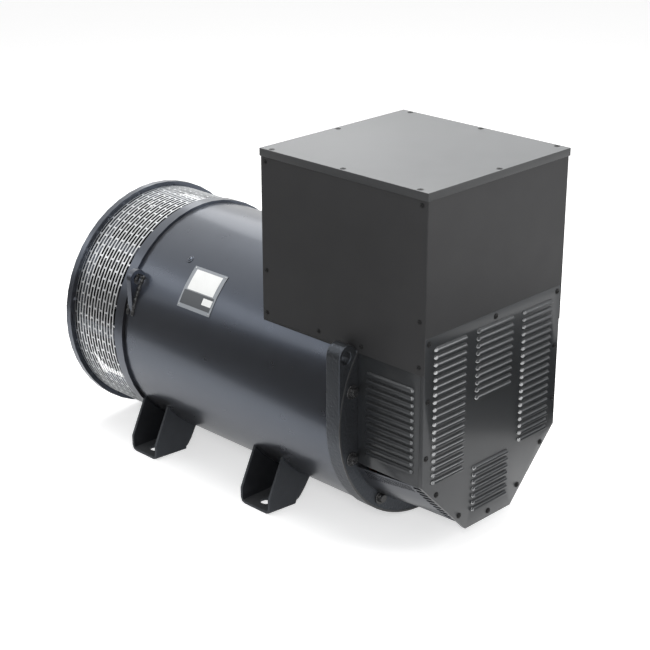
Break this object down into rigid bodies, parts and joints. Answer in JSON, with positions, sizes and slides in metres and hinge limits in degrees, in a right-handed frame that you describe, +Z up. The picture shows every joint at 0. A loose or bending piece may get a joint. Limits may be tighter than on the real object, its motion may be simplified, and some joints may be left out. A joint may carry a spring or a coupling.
{
  "type": "generator alternator head",
  "caption": "Single-bearing generator alternator head: round body on channel feet, louvred rear housing, terminal box, slotted air outlet and engine flange.",
  "frame": {"origin": "on the floor under the middle of the bounding box, below the shaft axis", "axes": "+Y along the shaft towards the engine, +Z up, louvred rear plate facing -Y"},
  "size_m": [0.7112, 1.3786, 1.029],
  "materials": {
    "body_paint": "satin",
    "box_paint": "fine textured satin",
    "casting": "rough cast, painted",
    "machined_steel": "machined",
    "lamination_steel": "matt",
    "copper_winding": "varnished",
    "galvanised_sheet": "galvanised",
    "zinc_plate": "zinc plated",
    "fan_alloy": "as cast",
    "cage_brass": "machined",
    "insulating_board": "matt",
    "black_plastic": "matt",
    "plate_label": "satin"
  },
  "bodies": {
    "stator": {"stator_frame": "body_paint", "stator_core": "lamination_steel", "stator_winding": "copper_winding", "nde_bracket": "casting", "bearing_housing": "casting", "bearing_cap_outer": "casting", "bearing_cap_inner": "casting", "bearing_outer_ring": "machined_steel", "exciter_stator": "lamination_steel", "drive_end_frame": "casting", "housing_flange": "casting", "air_outlet_screen": "galvanised_sheet", "de_lifting_lug_left": "body_paint", "de_lifting_lug_right": "body_paint", "foot_nde_left": "body_paint", "foot_nde_right": "body_paint", "foot_de_left": "body_paint", "foot_de_right": "body_paint", "rear_louvre_plate": "box_paint", "side_louvre_panel_left": "box_paint", "side_louvre_panel_right": "box_paint", "rear_frame": "box_paint", "belly_pan": "box_paint", "box_panel_left": "box_paint", "box_panel_right": "box_paint", "box_panel_rear": "box_paint", "box_panel_front": "box_paint", "box_floor": "box_paint", "box_frame": "machined_steel", "box_lid": "box_paint", "terminal_board_saddle": "machined_steel", "terminal_board": "insulating_board", "voltage_regulator": "black_plastic", "name_plate": "plate_label", "body_plug": "black_plastic", "bracket_bolt_01": "zinc_plate", "bracket_bolt_02": "zinc_plate", "bracket_bolt_03": "zinc_plate", "bracket_bolt_04": "zinc_plate", "bracket_bolt_05": "zinc_plate", "bracket_bolt_06": "zinc_plate", "bracket_bolt_07": "zinc_plate", "bracket_bolt_08": "zinc_plate", "bracket_bolt_09": "zinc_plate", "bracket_bolt_10": "zinc_plate"},
    "rotor": {"shaft": "machined_steel", "bearing_inner_ring": "machined_steel", "rotor_core": "lamination_steel", "field_coil_1": "copper_winding", "field_coil_2": "copper_winding", "field_coil_3": "copper_winding", "field_coil_4": "copper_winding", "exciter_rotor": "lamination_steel", "rectifier_disc": "fan_alloy", "cooling_fan": "fan_alloy", "drive_hub": "machined_steel", "drive_discs": "machined_steel"},
    "bearing_cage": {"ball_cage_set": "cage_brass"}
  },
  "joints": [
    {"name": "rotor_spin", "type": "hinge", "parent": "stator", "child": "rotor", "pos_m": [0, 0, 0.3565], "axis": [0, 1, 0], "continuous": true},
    {"name": "cage_spin", "type": "hinge", "parent": "stator", "child": "bearing_cage", "pos_m": [0, 0, 0.3565], "axis": [0, 1, 0], "continuous": true}
  ],
  "couplings": [
    {"joint": "cage_spin", "follows": "rotor_spin", "ratio": 0.39}
  ]
}
